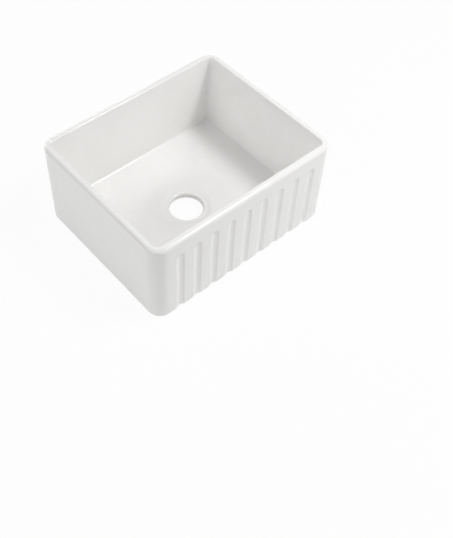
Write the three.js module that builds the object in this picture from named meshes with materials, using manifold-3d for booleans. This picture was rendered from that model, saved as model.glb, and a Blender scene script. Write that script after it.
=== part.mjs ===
// Farmhouse apron-front kitchen sink: one casting of glazed fireclay.
//
// The long side lies along X, the fluted apron faces -Y and +Z is up. The origin is the
// middle of the footprint, on the surface that the sink stands on. All sizes are in mm.
//
// The body is a blank, lofted from the foot to the rim with the flutes drawn into its front,
// less three cutters: the bowl, the hollow in the underside, and the turned drain.

import * as THREE from 'three';
import { mergeVertices } from 'three/addons/utils/BufferGeometryUtils.js';
import Module from 'manifold-3d';

const manifold = await Module();
manifold.setup();

// ---------------------------------------------------------------- driving dimensions

const length = 550;                 // overall, along X
const width = 455;                  // overall, apron face to back face
const height = 254;                 // foot to rim
const cornerRadius = 36;            // outer upright corners, seen from above

const wall = 18;                    // wall thickness just under the rim
const rimOuterRound = 10;           // round-over from the rim to the outside
const rimInnerRound = 4;            // round-over from the rim into the bowl
const footRound = 14;               // round-over from the outside to the underside

const bowlCorner = 12;              // upright corners inside the bowl, just under the rim
const bowlLean = 2;                 // how far the bowl's walls lean in by the time they reach the floor
const bowlCove = 7;                 // round between the bowl's walls and its floor
const floorAtWalls = 38;            // floor's height above the foot where it leaves the cove
const floorAtSeat = 29;             // floor's height above the foot where it meets the strainer seat

const drainRadius = 45;             // 90 mm waste outlet
const drainForward = 3;             // outlet's centre, in front of the middle of the bowl
const seatRadius = 54;              // flat ring that the strainer's flange is bedded on
const seatDepth = 3.5;              // flat ring, below the floor around it
const seatShoulder = 18;            // width of the soft dish from the floor down to the ring
const seatSurround = 2;             // width of the level ring of floor round the dish
const drainEdgeRound = 4.5;         // round-over at the outlet's upper and lower edges

const hollowDepth = 9;              // hollow in the underside
const footWidth = 44;               // outside face to the hollow's edge
const hollowCorner = 22;            // hollow's corners, seen from below
const hollowFlare = 4;              // how far the hollow's sides lean outwards

const flutePitch = 51;
const fluteWidth = 27;              // shoulder to shoulder
const fluteDepth = 3.5;
const fluteShoulder = 7;            // radius of the soft edge on each side of a flute
const fluteTop = 42;                // rim to the crown of a flute
const fluteMargin = 8;              // least flat between the last flute and the corner's curve

// Fineness of the faceted surface.
const cornerSteps = 6;              // facets round one upright corner
const roundSteps = 5;               // facets across a round-over or cove
const fluteSteps = 5;               // facets from a flute's centre to its edge
const domeSteps = 5;                // rings through a flute's domed top
const turnSteps = 48;               // facets round the drain
const seatSteps = 8;                // facets across the dish round the outlet
const floorFan = 5;                 // facets of the floor to each half side

const glaze = new THREE.MeshStandardMaterial({ color: 0xf1f1ee, roughness: 0.14, metalness: 0 });

// ---------------------------------------------------------------- outlines

const halfLength = length / 2;
const halfWidth = width / 2;

/** Fractions from 0 to 1, both ends included. */
function fractions(steps) {
  return Array.from({ length: steps + 1 }, (_, i) => i / steps);
}

/** Points of one round corner of an outline, from one side's end to the next side's start. */
function cornerPoints(centreX, centreY, radius, startAngle) {
  return fractions(cornerSteps).map((t) => {
    const angle = startAngle + (t * Math.PI) / 2;
    return new THREE.Vector2(centreX + radius * Math.cos(angle), centreY + radius * Math.sin(angle));
  });
}

/**
 * A rounded rectangle, counter-clockwise from the right end of the front side.
 * Each list holds the places of the points between a side's two ends, from -1 to 1.
 */
function roundedRectangle(halfX, halfY, radius, places) {
  const x = halfX - radius;
  const y = halfY - radius;
  return [
    ...cornerPoints(x, -y, radius, -Math.PI / 2),
    ...places.sides.map((s) => new THREE.Vector2(halfX, s * y)),
    ...cornerPoints(x, y, radius, 0),
    ...places.back.map((s) => new THREE.Vector2(-s * x, halfY)),
    ...cornerPoints(-x, y, radius, Math.PI / 2),
    ...places.sides.map((s) => new THREE.Vector2(-halfX, -s * y)),
    ...cornerPoints(-x, -y, radius, Math.PI),
    ...places.front.map((s) => new THREE.Vector2(s * x, -halfY)),
  ];
}

/** A closed solid through a stack of outlines that all have the same number of points. */
function loft(levels) {
  const count = levels[0].outline.length;
  const positions = levels.flatMap(({ outline, z }) => outline.flatMap((p) => [p.x, p.y, z]));
  const indices = [];
  for (let level = 0; level + 1 < levels.length; level += 1) {
    for (let i = 0; i < count; i += 1) {
      const a = level * count + i;
      const b = level * count + ((i + 1) % count);
      indices.push(a, b, b + count, a, b + count, a + count);
    }
  }
  const last = (levels.length - 1) * count;
  for (const [a, b, c] of THREE.ShapeUtils.triangulateShape(levels[0].outline, [])) {
    indices.push(c, b, a);
  }
  for (const [a, b, c] of THREE.ShapeUtils.triangulateShape(levels.at(-1).outline, [])) {
    indices.push(last + a, last + b, last + c);
  }
  const geometry = new THREE.BufferGeometry();
  geometry.setAttribute('position', new THREE.Float32BufferAttribute(positions, 3));
  geometry.setIndex(indices);
  return geometry;
}

/** A three.js geometry as a solid that can be cut. */
function toSolid(geometry) {
  const bare = geometry.clone();
  bare.deleteAttribute('normal');
  bare.deleteAttribute('uv');
  const merged = mergeVertices(bare, 1e-4);
  return new manifold.Manifold(new manifold.Mesh({
    numProp: 3,
    vertProperties: new Float32Array(merged.attributes.position.array),
    triVerts: new Uint32Array(merged.index.array),
  }));
}

/** The cut solid as a three.js geometry again. */
function toGeometry(solid) {
  const mesh = solid.getMesh();
  const geometry = new THREE.BufferGeometry();
  geometry.setAttribute('position', new THREE.BufferAttribute(mesh.vertProperties, 3));
  geometry.setIndex(new THREE.BufferAttribute(mesh.triVerts, 1));
  geometry.computeVertexNormals();
  return geometry;
}

// ---------------------------------------------------------------- flutes

// A flute's section is a hollow arc that meets a raised shoulder arc on each side. The
// shoulder is tangent to the apron's face, and the two arcs are tangent to each other.
const fluteReach = fluteWidth / 2;
const fluteArcs = (fluteReach ** 2 + fluteDepth ** 2) / (2 * fluteDepth);
const fluteRadius = fluteArcs - fluteShoulder;
const fluteTurn = (fluteReach * fluteRadius) / fluteArcs;
const fluteCount = 1 + 2 * Math.floor(
  (halfLength - cornerRadius - fluteMargin - fluteReach) / flutePitch,
);
const domeCentre = height - fluteTop - fluteReach;

/** Depth of a flute at a distance from its centre line, or from its dome's centre. */
function fluteSection(distance) {
  if (distance >= fluteReach) return 0;
  if (distance > fluteTurn) {
    return fluteShoulder - Math.sqrt(fluteShoulder ** 2 - (fluteReach - distance) ** 2);
  }
  return Math.sqrt(fluteRadius ** 2 - distance ** 2) - (fluteRadius - fluteDepth);
}

/** Flutes' centres along X, a row centred on the apron. */
const fluteCentres = Array.from(
  { length: fluteCount },
  (_, i) => (i - (fluteCount - 1) / 2) * flutePitch,
);

/** Offsets from a flute's centre where its section gets a point. */
const fluteOffsets = fractions(fluteSteps)
  .map((t) => fluteReach * Math.sin((t * Math.PI) / 2))
  .flatMap((offset) => (offset === 0 ? [0] : [-offset, offset]))
  .sort((a, b) => a - b);

/** Depth of the apron's relief at a point of its face. */
function apronRelief(x, z) {
  const above = Math.max(0, z - domeCentre);
  const depths = fluteCentres.map((centre) => fluteSection(Math.hypot(x - centre, above)));
  return Math.max(...depths);
}

// ---------------------------------------------------------------- blank

const apronStraight = halfLength - cornerRadius;
const blankPlaces = {
  front: fluteCentres.flatMap((c) => fluteOffsets.map((offset) => (c + offset) / apronStraight)),
  back: [0],
  sides: [0],
};

/** The blank's outline at a height, drawn in from the overall size. */
function blankOutline(inset, z) {
  const radius = cornerRadius - inset;
  const outline = roundedRectangle(halfLength - inset, halfWidth - inset, radius, blankPlaces);
  return outline.map((p) => {
    const onApron = p.y < -(halfWidth - inset) + 1e-6;
    return onApron ? new THREE.Vector2(p.x, p.y + apronRelief(p.x, z)) : p;
  });
}

/** Heights at which the flutes' tops need a ring, from the dome's centre to its crown. */
const domeHeights = fractions(domeSteps).map((t) => domeCentre + fluteReach * Math.sin((t * Math.PI) / 2));

function blank() {
  const footRings = fractions(roundSteps).map((t) => {
    const angle = (t * Math.PI) / 2;
    return { inset: footRound * (1 - Math.sin(angle)), z: footRound * (1 - Math.cos(angle)) };
  });
  const domeRings = domeHeights.map((z) => ({ inset: 0, z }));
  const rimRings = fractions(roundSteps).map((t) => {
    const angle = (t * Math.PI) / 2;
    return {
      inset: rimOuterRound * (1 - Math.cos(angle)),
      z: height - rimOuterRound * (1 - Math.sin(angle)),
    };
  });
  return loft([...footRings, ...domeRings, ...rimRings].map(({ inset, z }) => (
    { outline: blankOutline(inset, z), z }
  )));
}

// ---------------------------------------------------------------- bowl

const above = 20;                   // how far a cutter passes the surface that it opens
const bowlHalfX = halfLength - wall;
const bowlHalfY = halfWidth - wall;
const dishRadius = seatRadius + seatShoulder;

// Points along the bowl's sides lie at even angles seen from the outlet, so that the
// floor fans out evenly from the round seat to the straight walls.
const fan = (near, far) => fractions(2 * floorFan)
  .slice(1, -1)
  .map((t) => (near * Math.tan((2 * t - 1) * Math.atan(far / near))) / far);
const bowlPlaces = {
  front: fan(bowlHalfY, bowlHalfX - bowlCorner),
  back: fan(bowlHalfY, bowlHalfX - bowlCorner),
  sides: fan(bowlHalfX, bowlHalfY - bowlCorner),
};

/** The bowl's outline, drawn in from its walls under the rim. */
function bowlOutline(inset) {
  const radius = Math.max(1, bowlCorner - inset);
  return roundedRectangle(bowlHalfX - inset, bowlHalfY - inset, radius, bowlPlaces);
}

function bowl() {
  const coveTop = floorAtWalls + bowlCove;
  const floorOutline = bowlOutline(bowlLean + bowlCove);
  const seatOutline = floorOutline.map((p) => {
    const fromDrain = new THREE.Vector2(p.x, p.y + drainForward);
    return fromDrain.setLength(dishRadius + seatSurround).sub(new THREE.Vector2(0, drainForward));
  });
  const coveRings = fractions(roundSteps).map((t) => {
    const angle = (t * Math.PI) / 2;
    return {
      outline: bowlOutline(bowlLean + bowlCove * (1 - Math.sin(angle))),
      z: coveTop - bowlCove * Math.cos(angle),
    };
  });
  const rimRings = fractions(roundSteps).map((t) => {
    const angle = (t * Math.PI) / 2;
    return {
      outline: bowlOutline(-rimInnerRound * (1 - Math.cos(angle))),
      z: height - rimInnerRound * (1 - Math.sin(angle)),
    };
  });
  const mouth = { outline: bowlOutline(-rimInnerRound), z: height + above };
  return loft([{ outline: seatOutline, z: floorAtSeat }, ...coveRings, ...rimRings, mouth]);
}

// ---------------------------------------------------------------- underside and drain

function hollow() {
  const outline = (inset) => roundedRectangle(
    halfLength - footWidth - inset,
    halfWidth - footWidth - inset,
    hollowCorner,
    { front: [], back: [], sides: [] },
  );
  return loft([
    { outline: outline(0), z: -above },
    { outline: outline(0), z: 0 },
    { outline: outline(hollowFlare), z: hollowDepth },
  ]);
}

/**
 * The outlet's bore, its rounded edges and the strainer seat, turned about one axis. The seat's
 * dish is steepest a third of the way out and fades into the floor.
 */
function drain() {
  const seat = floorAtSeat - seatDepth;
  const quarter = fractions(roundSteps).map((t) => (t * Math.PI) / 2);
  const lowerEdge = quarter.map((angle) => new THREE.Vector2(
    drainRadius + drainEdgeRound * (1 - Math.sin(angle)),
    hollowDepth + drainEdgeRound * (1 - Math.cos(angle)),
  ));
  const upperEdge = quarter.map((angle) => new THREE.Vector2(
    drainRadius + drainEdgeRound * (1 - Math.cos(angle)),
    seat - drainEdgeRound * (1 - Math.sin(angle)),
  ));
  const shoulder = fractions(seatSteps).map((t) => new THREE.Vector2(
    seatRadius + seatShoulder * t,
    seat + seatDepth * t * t * (6 - 8 * t + 3 * t * t),
  ));
  const profile = [
    new THREE.Vector2(0, -above),
    new THREE.Vector2(drainRadius + drainEdgeRound, -above),
    ...lowerEdge,
    ...upperEdge,
    ...shoulder,
    new THREE.Vector2(dishRadius, floorAtWalls + above),
    new THREE.Vector2(0, floorAtWalls + above),
  ];
  const turned = new THREE.LatheGeometry(profile, turnSteps);
  turned.rotateX(Math.PI / 2);
  turned.translate(0, -drainForward, 0);
  return turned;
}

// ---------------------------------------------------------------- the sink

function sinkBody() {
  const cutters = [bowl(), hollow(), drain()].map(toSolid);
  const body = cutters.reduce((solid, cutter) => solid.subtract(cutter), toSolid(blank()));
  const mesh = new THREE.Mesh(toGeometry(body), glaze);
  mesh.name = 'sink_body';
  return mesh;
}

const sink = new THREE.Group();
sink.add(sinkBody());

export default sink;
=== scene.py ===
"""Looks of the farmhouse apron-front sink: one casting of glazed fireclay, seen on a pale floor.

Everything is in metres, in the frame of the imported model: the long side lies along X, the fluted
apron faces -Y, +Z is up and the origin is the middle of the footprint.
"""

import math

import bpy
import numpy as np
from mathutils import Matrix, Vector


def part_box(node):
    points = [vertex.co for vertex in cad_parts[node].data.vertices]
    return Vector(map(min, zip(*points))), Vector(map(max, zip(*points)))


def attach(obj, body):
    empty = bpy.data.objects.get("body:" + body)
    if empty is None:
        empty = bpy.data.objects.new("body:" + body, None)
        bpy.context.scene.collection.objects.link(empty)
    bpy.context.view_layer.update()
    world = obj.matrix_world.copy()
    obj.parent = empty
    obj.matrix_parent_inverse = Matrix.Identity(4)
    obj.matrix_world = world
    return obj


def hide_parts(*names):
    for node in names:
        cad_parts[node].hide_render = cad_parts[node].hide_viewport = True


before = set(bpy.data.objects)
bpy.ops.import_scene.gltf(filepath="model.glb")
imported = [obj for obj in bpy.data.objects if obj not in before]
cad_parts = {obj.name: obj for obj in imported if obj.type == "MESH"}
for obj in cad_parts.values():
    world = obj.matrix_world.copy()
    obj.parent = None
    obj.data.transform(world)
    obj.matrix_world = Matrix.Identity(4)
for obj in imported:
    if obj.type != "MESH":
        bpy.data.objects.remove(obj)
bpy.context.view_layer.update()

NODE = "sink_body"
low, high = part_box(NODE)

# ---------------------------------------------------------------- sizes of the casting

MM = 0.001
HALF_LENGTH = (high.x - low.x) / 2
HALF_WIDTH = (high.y - low.y) / 2
HEIGHT = high.z - low.z

CORNER_RADIUS = 36 * MM
WALL = 18 * MM
RIM_OUTER_ROUND = 10 * MM
RIM_INNER_ROUND = 4 * MM
FOOT_ROUND = 14 * MM

BOWL_CORNER = 12 * MM
BOWL_LEAN = 2 * MM
BOWL_COVE = 7 * MM
FLOOR_AT_WALLS = 38 * MM
FLOOR_AT_SEAT = 29 * MM

DRAIN_RADIUS = 45 * MM
DRAIN_FORWARD = 3 * MM
SEAT_RADIUS = 54 * MM
SEAT_DEPTH = 3.5 * MM
SEAT_SHOULDER = 18 * MM
SEAT_SURROUND = 2 * MM
DRAIN_EDGE = 4.5 * MM

HOLLOW_DEPTH = 9 * MM
FOOT_WIDTH = 44 * MM
HOLLOW_CORNER = 22 * MM
HOLLOW_FLARE = 4 * MM
HOLLOW_EDGE = 2.5 * MM

FLUTE_PITCH = 51 * MM
FLUTE_REACH = 13.5 * MM
FLUTE_DEPTH = 3.5 * MM
FLUTE_SHOULDER = 7 * MM
FLUTE_TOP = 42 * MM
FLUTE_MARGIN = 8 * MM

GLAZE_LINE = 1.5 * MM  # height at which the glaze ends on the foot's round

# How finely the surface is drawn.
CORNER_STEPS = 12
ROUND_STEPS = 10
FLUTE_STEPS = 10
DOME_STEPS = 12
SIDE_STEPS = 36
BACK_STEPS = 56
FLOOR_STEPS = 26
APRON_STEPS = 10
BOWL_STEPS = 12
DISH_STEPS = 18
DRAIN_EDGE_STEPS = 8
BORE_STEPS = 5
CEILING_STEPS = 10
HOLLOW_EDGE_STEPS = 4
RIM_SHARES = (0.3, 0.5, 0.7)  # where rings cross the rim's flat
SKIRT = 1.2 * MM  # first ring of a flat beside a round, which keeps the flat's shading flat
FLOOR_SKIRT = 0.008  # the same on the floor and on the hollow's ceiling, as shares of their width
CEILING_SKIRT = 0.01
LAND_SHARE = 0.75  # how far the last column goes from a flute's edge to halfway between flutes
LAST_COLUMN = 0.985  # share of the apron's straight that its columns cover, short of the corners
TOUCH = 1e-7  # how near to the apron's face a point counts as on it


def fractions(steps):
    """Fractions from 0 to 1, both ends included."""
    return np.linspace(0.0, 1.0, steps + 1)


def quarter(steps):
    """Angles of a quarter turn."""
    return fractions(steps) * math.pi / 2


# ---------------------------------------------------------------- flutes

FLUTE_ARCS = (FLUTE_REACH**2 + FLUTE_DEPTH**2) / (2 * FLUTE_DEPTH)
FLUTE_RADIUS = FLUTE_ARCS - FLUTE_SHOULDER
FLUTE_TURN = FLUTE_REACH * FLUTE_RADIUS / FLUTE_ARCS
DOME_CENTRE = HEIGHT - FLUTE_TOP - FLUTE_REACH
APRON_STRAIGHT = HALF_LENGTH - CORNER_RADIUS
flutes_a_side = int((APRON_STRAIGHT - FLUTE_MARGIN - FLUTE_REACH) / FLUTE_PITCH)
flute_centres = np.arange(-flutes_a_side, flutes_a_side + 1) * FLUTE_PITCH


def flute_section(distance):
    """Depth of a flute at distances from its centre line, or from its dome's centre."""
    d = np.minimum(distance, FLUTE_REACH)
    from_edge = np.minimum(FLUTE_REACH - d, FLUTE_SHOULDER)
    shoulder = FLUTE_SHOULDER - np.sqrt(FLUTE_SHOULDER**2 - from_edge**2)
    hollow = np.sqrt(FLUTE_RADIUS**2 - d**2) - (FLUTE_RADIUS - FLUTE_DEPTH)
    return np.where(d > FLUTE_TURN, shoulder, hollow)


def apron_relief(x, z):
    """Depth of the apron's flutes at points of its face."""
    above = max(0.0, z - DOME_CENTRE)
    distances = np.hypot(x[:, None] - flute_centres[None, :], above)
    return flute_section(distances).max(axis=1)


# ---------------------------------------------------------------- outlines

across_flute = FLUTE_REACH * np.sin(quarter(FLUTE_STEPS))
on_land = np.array([SKIRT, SKIRT * 4, (FLUTE_PITCH / 2 - FLUTE_REACH) * LAND_SHARE]) + FLUTE_REACH
offsets = np.concatenate([-on_land[::-1], -across_flute[:0:-1], across_flute, on_land])
front_places = (flute_centres[:, None] + offsets[None, :]).ravel() / APRON_STRAIGHT
front_places = front_places[np.abs(front_places) < LAST_COLUMN]
back_places = np.linspace(-1, 1, BACK_STEPS + 1)[1:-1]
side_places = np.linspace(-1, 1, SIDE_STEPS + 1)[1:-1]


def arc(centre_x, centre_y, radius, start):
    """One round corner of an outline."""
    angles = start + quarter(CORNER_STEPS)
    return np.column_stack([centre_x + radius * np.cos(angles), centre_y + radius * np.sin(angles)])


def rounded_rectangle(half_x, half_y, radius):
    """A rounded rectangle, counter-clockwise from the right end of the front side."""
    x, y = half_x - radius, half_y - radius
    up = np.column_stack([np.full(len(side_places), half_x), side_places * y])
    back = np.column_stack([-back_places * x, np.full(len(back_places), half_y)])
    front = np.column_stack([front_places * x, np.full(len(front_places), -half_y)])
    return np.vstack([
        arc(x, -y, radius, -math.pi / 2), up,
        arc(x, y, radius, 0.0), back,
        arc(-x, y, radius, math.pi / 2), up * [-1, -1],
        arc(-x, -y, radius, math.pi), front,
    ])


def outside(inset, z):
    """The outside's outline at a height, drawn in from the overall size, with its flutes."""
    outline = rounded_rectangle(HALF_LENGTH - inset, HALF_WIDTH - inset, CORNER_RADIUS - inset)
    on_apron = outline[:, 1] < -(HALF_WIDTH - inset) + TOUCH
    outline[on_apron, 1] += apron_relief(outline[on_apron, 0], z)
    return outline


def inside(inset):
    """The bowl's outline, drawn in from its walls under the rim."""
    corner = max(MM, BOWL_CORNER - inset)
    return rounded_rectangle(HALF_LENGTH - WALL - inset, HALF_WIDTH - WALL - inset, corner)


floor_outline = inside(BOWL_LEAN + BOWL_COVE)
from_drain = floor_outline + [0, DRAIN_FORWARD]
toward_outline = from_drain / np.linalg.norm(from_drain, axis=1)[:, None]


def round_drain(radius):
    """A circle round the drain, with its points on the rays to the floor's outline."""
    return toward_outline * radius - [0, DRAIN_FORWARD]


# ---------------------------------------------------------------- the casting's rings

# One ring after another, from the foot up the outside, over the rim, down into the bowl, through
# the drain and back to the foot.
rings = []
bare = []  # 1 on rings without glaze, 0 on glazed ones
edge_thin_and_shade = []  # how far the glaze has drawn back from a ring's round edge, 0 to 1, which also darkens the round as painted shade


def ring(outline, z, thinned_and_shaded=0.0, unglazed=0.0):
    """One ring at a height, with its share of thinned glaze, which is partly painted shade, and of
    bare clay.
    """
    rings.append(np.column_stack([outline, np.full(len(outline), z)]))
    bare.append(np.full(len(outline), unglazed))
    edge_thin_and_shade.append(np.full(len(outline), thinned_and_shaded))


def between(first, last, z_first, z_last, shares, unglazed=0.0):
    """Rings on the ruled surface between two outlines."""
    for share in shares:
        z = z_first + (z_last - z_first) * share
        ring(first + (last - first) * share, z, unglazed=unglazed)


def underside_outline(inset):
    """An outline on the underside, drawn in from the overall size, without flutes."""
    return rounded_rectangle(HALF_LENGTH - inset, HALF_WIDTH - inset, HOLLOW_CORNER)


def outer_shell():
    """Foot, outside faces with their flutes, and the rim's outer round-over."""
    foot_in, foot_out = FOOT_WIDTH - HOLLOW_EDGE, FOOT_ROUND
    for inset in (foot_in, foot_in - SKIRT, (foot_in + foot_out) / 2):
        ring(underside_outline(inset), 0.0, unglazed=1.0)
    ring(outside(foot_out + SKIRT, 0.0), 0.0, unglazed=1.0)
    for angle in quarter(ROUND_STEPS):
        inset, z = FOOT_ROUND * (1 - math.sin(angle)), FOOT_ROUND * (1 - math.cos(angle))
        ring(outside(inset, z), z, unglazed=max(0.0, 1 - z / GLAZE_LINE))
    for z in np.linspace(FOOT_ROUND, DOME_CENTRE, APRON_STEPS)[1:-1]:
        ring(outside(0.0, z), z)
    for angle in quarter(DOME_STEPS):
        z = DOME_CENTRE + FLUTE_REACH * math.sin(angle)
        ring(outside(0.0, z), z)
    shoulder = HEIGHT - RIM_OUTER_ROUND
    for z in (shoulder - FLUTE_TOP / 2, shoulder - FLUTE_TOP / 4, shoulder - SKIRT):
        ring(outside(0.0, z), z)
    # The rim's outer round takes the thin glaze colour, partly real thinning and partly painted
    # shade.
    for angle in quarter(ROUND_STEPS):
        inset = RIM_OUTER_ROUND * (1 - math.cos(angle))
        z = shoulder + RIM_OUTER_ROUND * math.sin(angle)
        ring(outside(inset, z), z, thinned_and_shaded=math.sin(2 * angle))


def bowl():
    """The flat of the rim, the bowl's walls, their cove and the sloped floor."""
    rim_edge, mouth = outside(RIM_OUTER_ROUND, HEIGHT), inside(-RIM_INNER_ROUND)
    between(rim_edge, mouth, HEIGHT, HEIGHT, RIM_SHARES)
    # The rim's inner round takes the thin glaze colour, partly real thinning and partly painted
    # shade.
    for angle in quarter(ROUND_STEPS)[::-1]:
        inset = -RIM_INNER_ROUND * (1 - math.cos(angle))
        z = HEIGHT - RIM_INNER_ROUND * (1 - math.sin(angle))
        ring(inside(inset), z, thinned_and_shaded=math.sin(2 * angle))
    wall_top, cove_top = HEIGHT - RIM_INNER_ROUND, FLOOR_AT_WALLS + BOWL_COVE
    down = np.linspace(wall_top, cove_top, BOWL_STEPS)[1:-1]
    for z in [wall_top - SKIRT, *down, cove_top + SKIRT]:
        ring(inside(BOWL_LEAN * (wall_top - z) / (wall_top - cove_top)), z)
    for angle in quarter(ROUND_STEPS):
        inset = BOWL_LEAN + BOWL_COVE * (1 - math.cos(angle))
        ring(inside(inset), cove_top - BOWL_COVE * math.sin(angle))
    surround = round_drain(SEAT_RADIUS + SEAT_SHOULDER + SEAT_SURROUND)
    shares = [FLOOR_SKIRT, *fractions(FLOOR_STEPS)[1:]]
    between(floor_outline, surround, FLOOR_AT_WALLS, FLOOR_AT_SEAT, shares)


def drain():
    """The soft dish, the strainer's seat, the bore and its rounded edges."""
    seat = FLOOR_AT_SEAT - SEAT_DEPTH
    for share in fractions(DISH_STEPS)[::-1]:
        rise = share**2 * (6 - 8 * share + 3 * share**2)  # level at both ends, softest at the floor
        ring(round_drain(SEAT_RADIUS + SEAT_SHOULDER * share), seat + SEAT_DEPTH * rise)
    edge = DRAIN_RADIUS + DRAIN_EDGE
    for radius in ((SEAT_RADIUS + edge) / 2, edge + SKIRT / 2):
        ring(round_drain(radius), seat)
    # The drain's top edge takes the thin glaze colour, partly real thinning and partly painted
    # shade.
    for angle in quarter(DRAIN_EDGE_STEPS):
        radius = edge - DRAIN_EDGE * math.sin(angle)
        z = seat - DRAIN_EDGE * (1 - math.cos(angle))
        ring(round_drain(radius), z, thinned_and_shaded=math.sin(2 * angle))
    for z in np.linspace(seat - DRAIN_EDGE, HOLLOW_DEPTH + DRAIN_EDGE, BORE_STEPS)[1:-1]:
        ring(round_drain(DRAIN_RADIUS), z)
    for angle in quarter(DRAIN_EDGE_STEPS):
        radius = edge - DRAIN_EDGE * math.cos(angle)
        z = HOLLOW_DEPTH + DRAIN_EDGE * (1 - math.sin(angle))
        ring(round_drain(radius), z, unglazed=math.sin(angle))


def underside():
    """The hollow's ceiling and its flared sides, down to the foot."""
    drain_edge = round_drain(DRAIN_RADIUS + DRAIN_EDGE)
    ceiling = underside_outline(FOOT_WIDTH + HOLLOW_FLARE + HOLLOW_EDGE)
    shares = [CEILING_SKIRT, *fractions(CEILING_STEPS)[1:]]
    between(drain_edge, ceiling, HOLLOW_DEPTH, HOLLOW_DEPTH, shares, unglazed=1.0)
    for angle in quarter(HOLLOW_EDGE_STEPS)[1:]:
        inset = FOOT_WIDTH + HOLLOW_FLARE + HOLLOW_EDGE * (1 - math.sin(angle))
        z = HOLLOW_DEPTH - HOLLOW_EDGE * (1 - math.cos(angle))
        ring(underside_outline(inset), z, unglazed=1.0)
    for angle in quarter(HOLLOW_EDGE_STEPS)[:-1]:
        inset = FOOT_WIDTH - HOLLOW_EDGE * (1 - math.cos(angle))
        z = HOLLOW_EDGE * (1 - math.sin(angle))
        ring(underside_outline(inset), z, unglazed=1.0)


for stretch in (outer_shell, bowl, drain, underside):
    stretch()


def closed_mesh(name):
    """The rings as one closed surface: each meets the next, and the last meets the first."""
    around = len(rings[0])
    points = np.vstack(rings)
    points[:, 2] += low.z
    count = len(points)
    start = np.arange(count)
    column = start % around
    right = start - column + (column + 1) % around
    faces = np.column_stack([start, right, (right + around) % count, (start + around) % count])
    mesh = bpy.data.meshes.new(name)
    mesh.from_pydata(points.tolist(), [], faces.tolist())
    mesh.polygons.foreach_set("use_smooth", [True] * len(mesh.polygons))
    for attribute, values in (("bare", bare), ("edge_thin_and_shade", edge_thin_and_shade)):
        layer = mesh.attributes.new(attribute, "FLOAT", "POINT")
        layer.data.foreach_set("value", np.concatenate(values))
    mesh.update()
    return mesh


casting = bpy.data.objects.new("glazed_casting", closed_mesh("glazed_casting"))
bpy.context.scene.collection.objects.link(casting)
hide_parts(NODE)
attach(casting, "root")

# ---------------------------------------------------------------- materials


def new_material(name):
    """An empty node material."""
    material = bpy.data.materials.new(name)
    material.use_nodes = True
    nodes = material.node_tree.nodes
    nodes.clear()
    return material, nodes, material.node_tree.links


class Graph:
    """Short calls for the nodes of one material."""

    def __init__(self, name):
        self.material, self.nodes, self.links = new_material(name)
        self.place = self.nodes.new("ShaderNodeTexCoord").outputs["Object"]

    def feed(self, socket, value):
        """Link another node's output to a socket, or set the socket to a value."""
        if isinstance(value, bpy.types.NodeSocket):
            self.links.new(value, socket)
        else:
            socket.default_value = value

    def attribute(self, name):
        """A value that the mesh holds at its points."""
        node = self.nodes.new("ShaderNodeAttribute")
        node.attribute_name = name
        return node.outputs["Fac"]

    def noise(self, size, detail=2.0, roughness=0.5):
        """Noise from 0 to 1 with features of about a size in metres."""
        node = self.nodes.new("ShaderNodeTexNoise")
        self.links.new(self.place, node.inputs["Vector"])
        node.inputs["Scale"].default_value = 1 / size
        node.inputs["Detail"].default_value = detail
        node.inputs["Roughness"].default_value = roughness
        return node.outputs["Fac"]

    def remap(self, value, low_in, high_in, low_out=0.0, high_out=1.0):
        """A value taken softly from one range to another."""
        node = self.nodes.new("ShaderNodeMapRange")
        node.interpolation_type = "SMOOTHSTEP"
        values = (value, low_in, high_in, low_out, high_out)
        for socket, number in zip(list(node.inputs)[:len(values)], values):
            self.feed(socket, number)
        return node.outputs["Result"]

    def sum(self, first, second, scale=1.0):
        """first x scale + second."""
        node = self.nodes.new("ShaderNodeMath")
        node.operation = "MULTIPLY_ADD"
        for socket, value in zip(node.inputs, (first, scale, second)):
            self.feed(socket, value)
        return node.outputs[0]

    def times(self, first, second):
        return self.sum(first, 0.0, second)

    def blend(self, share, first, second):
        """A colour between two, by share."""
        node = self.nodes.new("ShaderNodeMix")
        node.data_type = "RGBA"
        self.feed(node.inputs[0], share)
        self.feed(node.inputs[6], first)
        self.feed(node.inputs[7], second)
        return node.outputs[2]


# Colours as linear red, green, blue and alpha.
GLAZE_PALE = (0.927, 0.922, 0.912, 1)
GLAZE_DEEP = (0.911, 0.906, 0.894, 1)
# Thin glaze on the rounds: partly real thinning, partly painted shade that darkens them.
GLAZE_THIN_AND_SHADE = (0.830, 0.815, 0.780, 1)
CLAY_PALE = (0.74, 0.70, 0.62, 1)
CLAY_DARK = (0.60, 0.55, 0.47, 1)
GLAZE_IOR = 1.5
GLAZE_ROUGHNESS = (0.06, 0.12)
CLAY_ROUGHNESS = 0.75  # added to the glaze's where the clay is bare
THINNING_AND_SHADE = 0.4  # how far the colour turns to thin glaze on the sharpest edge, partly as painted shade on the rounds

# Relief: size of its waves along the surface and their height, in metres.
ORANGE_PEEL = (0.006, 0.00003)
RIPPLE = (0.028, 0.00012)
SLOW_WAVE = (0.09, 0.0004)
SAND = (0.0011, 0.00025)


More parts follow.
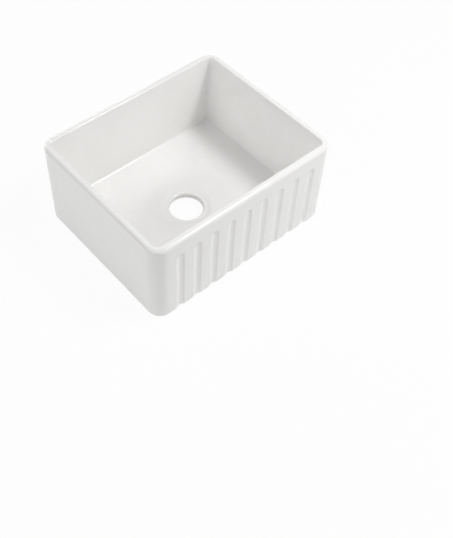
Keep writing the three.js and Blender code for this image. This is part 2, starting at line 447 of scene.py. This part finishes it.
def glazed_fireclay():
    """Gloss glaze that pools and thins a little, where the thin colour on the rounds is partly
    painted shade, and the bare fired clay of the foot.
    """
    g = Graph("glazed_fireclay")
    edge_noise = g.noise(0.012, 3)
    clay = g.remap(g.sum(edge_noise, g.attribute("bare"), 0.5), 0.72, 0.80)

    pooled = g.remap(g.sum(g.noise(0.11, 2), g.noise(0.02, 3), 0.75), 0.55, 1.15)
    glaze = g.blend(pooled, GLAZE_DEEP, GLAZE_PALE)
    # Rounds turn towards the thin glaze colour: partly real glaze thinning, partly painted shade.
    thinned_and_shaded = g.times(g.attribute("edge_thin_and_shade"), THINNING_AND_SHADE)
    drawn_back_and_shaded = g.times(thinned_and_shaded, g.remap(g.noise(0.03, 2), 0.3, 0.7, 0.4, 1.0))
    glaze = g.blend(drawn_back_and_shaded, glaze, GLAZE_THIN_AND_SHADE)
    grit = g.remap(g.noise(0.0016, 4, 0.7), 0.4, 0.66)
    fired = g.blend(grit, CLAY_PALE, CLAY_DARK)

    gloss = g.remap(g.noise(0.045, 4, 0.6), 0.3, 0.7, *GLAZE_ROUGHNESS)
    rough = g.sum(clay, gloss, CLAY_ROUGHNESS)

    orange_peel, ripple, slow_wave = (
        g.times(g.noise(size, 1), height) for size, height in (ORANGE_PEEL, RIPPLE, SLOW_WAVE)
    )
    relief = g.sum(g.sum(orange_peel, ripple), slow_wave)
    sand_size, sand_height = SAND
    sanded = g.times(g.times(g.noise(sand_size, 4, 0.65), sand_height), clay)
    relief = g.sum(relief, sanded)

    bump = g.nodes.new("ShaderNodeBump")
    bump.inputs["Distance"].default_value = 1.0
    g.links.new(relief, bump.inputs["Height"])

    out = g.nodes.new("ShaderNodeOutputMaterial")
    shader = g.nodes.new("ShaderNodeBsdfPrincipled")
    shader.inputs["IOR"].default_value = GLAZE_IOR
    g.links.new(g.blend(clay, glaze, fired), shader.inputs["Base Color"])
    g.links.new(rough, shader.inputs["Roughness"])
    g.links.new(bump.outputs["Normal"], shader.inputs["Normal"])
    g.links.new(shader.outputs["BSDF"], out.inputs["Surface"])
    return g.material


casting.data.materials.append(glazed_fireclay())

# ---------------------------------------------------------------- stage


def seen(nodes, links):
    """1 for the rays that show the background: camera, glossy and transmission rays."""
    path = nodes.new("ShaderNodeLightPath")
    share = path.outputs["Is Camera Ray"]
    for kind in ("Is Glossy Ray", "Is Transmission Ray"):
        either = nodes.new("ShaderNodeMath")
        either.operation = "MAXIMUM"
        links.new(share, either.inputs[0])
        links.new(path.outputs[kind], either.inputs[1])
        share = either.outputs[0]
    return share


WHITE = (1, 1, 1, 1)
FLOOR_GREY = (0.86, 0.86, 0.86, 1)
SHADOW_KEPT = 0.06  # share of the lit floor, with the sink's shadow, in the white ground
FLOOR_REACH = 8.0
FLOOR_GAP = 0.0003  # between the floor and the foot


def floor_material():
    """White where the background shows, with a little of the lit floor's shadow left in it."""
    material, nodes, links = new_material("pale_floor")
    out = nodes.new("ShaderNodeOutputMaterial")
    lit = nodes.new("ShaderNodeBsdfDiffuse")
    lit.inputs["Color"].default_value = FLOOR_GREY
    white = nodes.new("ShaderNodeEmission")
    white.inputs["Strength"].default_value = 1.0
    share = nodes.new("ShaderNodeMath")
    share.operation = "MULTIPLY"
    share.inputs[1].default_value = 1 - SHADOW_KEPT
    mix = nodes.new("ShaderNodeMixShader")
    links.new(seen(nodes, links), share.inputs[0])
    links.new(share.outputs[0], mix.inputs[0])
    links.new(lit.outputs[0], mix.inputs[1])
    links.new(white.outputs[0], mix.inputs[2])
    links.new(mix.outputs[0], out.inputs["Surface"])
    return material


floor_mesh = bpy.data.meshes.new("floor")
corners = [(x * FLOOR_REACH, y * FLOOR_REACH, 0) for x, y in ((-1, -1), (1, -1), (1, 1), (-1, 1))]
floor_mesh.from_pydata(corners, [], [(0, 1, 2, 3)])
floor = bpy.data.objects.new("floor", floor_mesh)
floor.location.z = -FLOOR_GAP
bpy.context.scene.collection.objects.link(floor)
floor_mesh.materials.append(floor_material())

# ---------------------------------------------------------------- light

AMBIENT = 0.18  # strength of the world on the object; the background shows it as white
world = bpy.data.worlds.new("studio")
bpy.context.scene.world = world
world.use_nodes = True
wn, wl = world.node_tree.nodes, world.node_tree.links
wn.clear()
w_out = wn.new("ShaderNodeOutputWorld")
w_dim = wn.new("ShaderNodeBackground")
w_dim.inputs["Strength"].default_value = AMBIENT
w_white = wn.new("ShaderNodeBackground")
w_mix = wn.new("ShaderNodeMixShader")
wl.new(seen(wn, wl), w_mix.inputs[0])
wl.new(w_dim.outputs[0], w_mix.inputs[1])
wl.new(w_white.outputs[0], w_mix.inputs[2])
wl.new(w_mix.outputs[0], w_out.inputs["Surface"])
for node in (w_dim, w_white):
    node.inputs["Color"].default_value = WHITE


def softbox(name, toward, distance, width, height, light):
    """A lamp in a direction from the sink, facing it. A light of 1 turns a white card white."""
    lamp = bpy.data.lights.new(name, "AREA")
    lamp.shape = "RECTANGLE"
    lamp.size, lamp.size_y = width, height
    lamp.energy = light * (math.pi * distance) ** 2
    direction = Vector(toward).normalized()
    holder = bpy.data.objects.new(name, lamp)
    holder.location = Vector((0, 0, HEIGHT / 2)) + direction * distance
    holder.rotation_mode = "QUATERNION"
    holder.rotation_quaternion = direction.to_track_quat("Z", "Y")
    bpy.context.scene.collection.objects.link(holder)


# Name, direction, distance, width and height in metres, and light.
softbox("key", (0.45, -0.45, 1), 2.4, 0.55, 0.55, 0.43)
softbox("window_wide", (1, -0.5, 1.1), 2.2, 1.4, 1.4, 0.12)
softbox("fill_left", (-1, 0, 0.62), 3.0, 2.4, 1.4, 0.305)
softbox("fill_front", (0.4, -1, 0.5), 3.0, 2.8, 1.4, 0.165)
softbox("fill_back", (0, 1, 0.35), 3.0, 3.0, 1.2, 0.4)

# ---------------------------------------------------------------- camera

# Fitted to the sink's outline, rim, floor, flutes and drain. Angles are in degrees, a negative
# azimuth is to the left of the front, distances are in metres, and the rest is in pixels.
AIM = Vector((0, 0, 0.125))
AZIMUTH, ELEVATION, ROLL = (math.radians(a) for a in (-39.125, 51.628, -0.255))
DISTANCE = 2.10434
SLIDE_X, SLIDE_Y = 0.026401, 0.18109
FOCAL_PIXELS = 834.114
CENTRE_X, CENTRE_Y = 175.386, 251.586
PHOTO_WIDTH, PHOTO_HEIGHT = 453, 538

back = Vector((
    math.sin(AZIMUTH) * math.cos(ELEVATION),
    -math.cos(AZIMUTH) * math.cos(ELEVATION),
    math.sin(ELEVATION),
))
level = Vector((math.cos(AZIMUTH), math.sin(AZIMUTH), 0))
upright = back.cross(level)
cam_right = level * math.cos(ROLL) + upright * math.sin(ROLL)
cam_up = upright * math.cos(ROLL) - level * math.sin(ROLL)

camera = bpy.data.objects.new("camera", bpy.data.cameras.new("camera"))
camera.location = AIM + back * DISTANCE - cam_right * SLIDE_X - cam_up * SLIDE_Y
camera.rotation_mode = "QUATERNION"
camera.rotation_quaternion = Matrix((cam_right, cam_up, back)).transposed().to_quaternion()
camera.data.lens = FOCAL_PIXELS * camera.data.sensor_width / PHOTO_HEIGHT
camera.data.shift_x = (PHOTO_WIDTH / 2 - CENTRE_X) / PHOTO_HEIGHT
camera.data.shift_y = (CENTRE_Y - PHOTO_HEIGHT / 2) / PHOTO_HEIGHT
bpy.context.scene.collection.objects.link(camera)
bpy.context.scene.camera = camera

bpy.context.scene.view_settings.view_transform = "Standard"
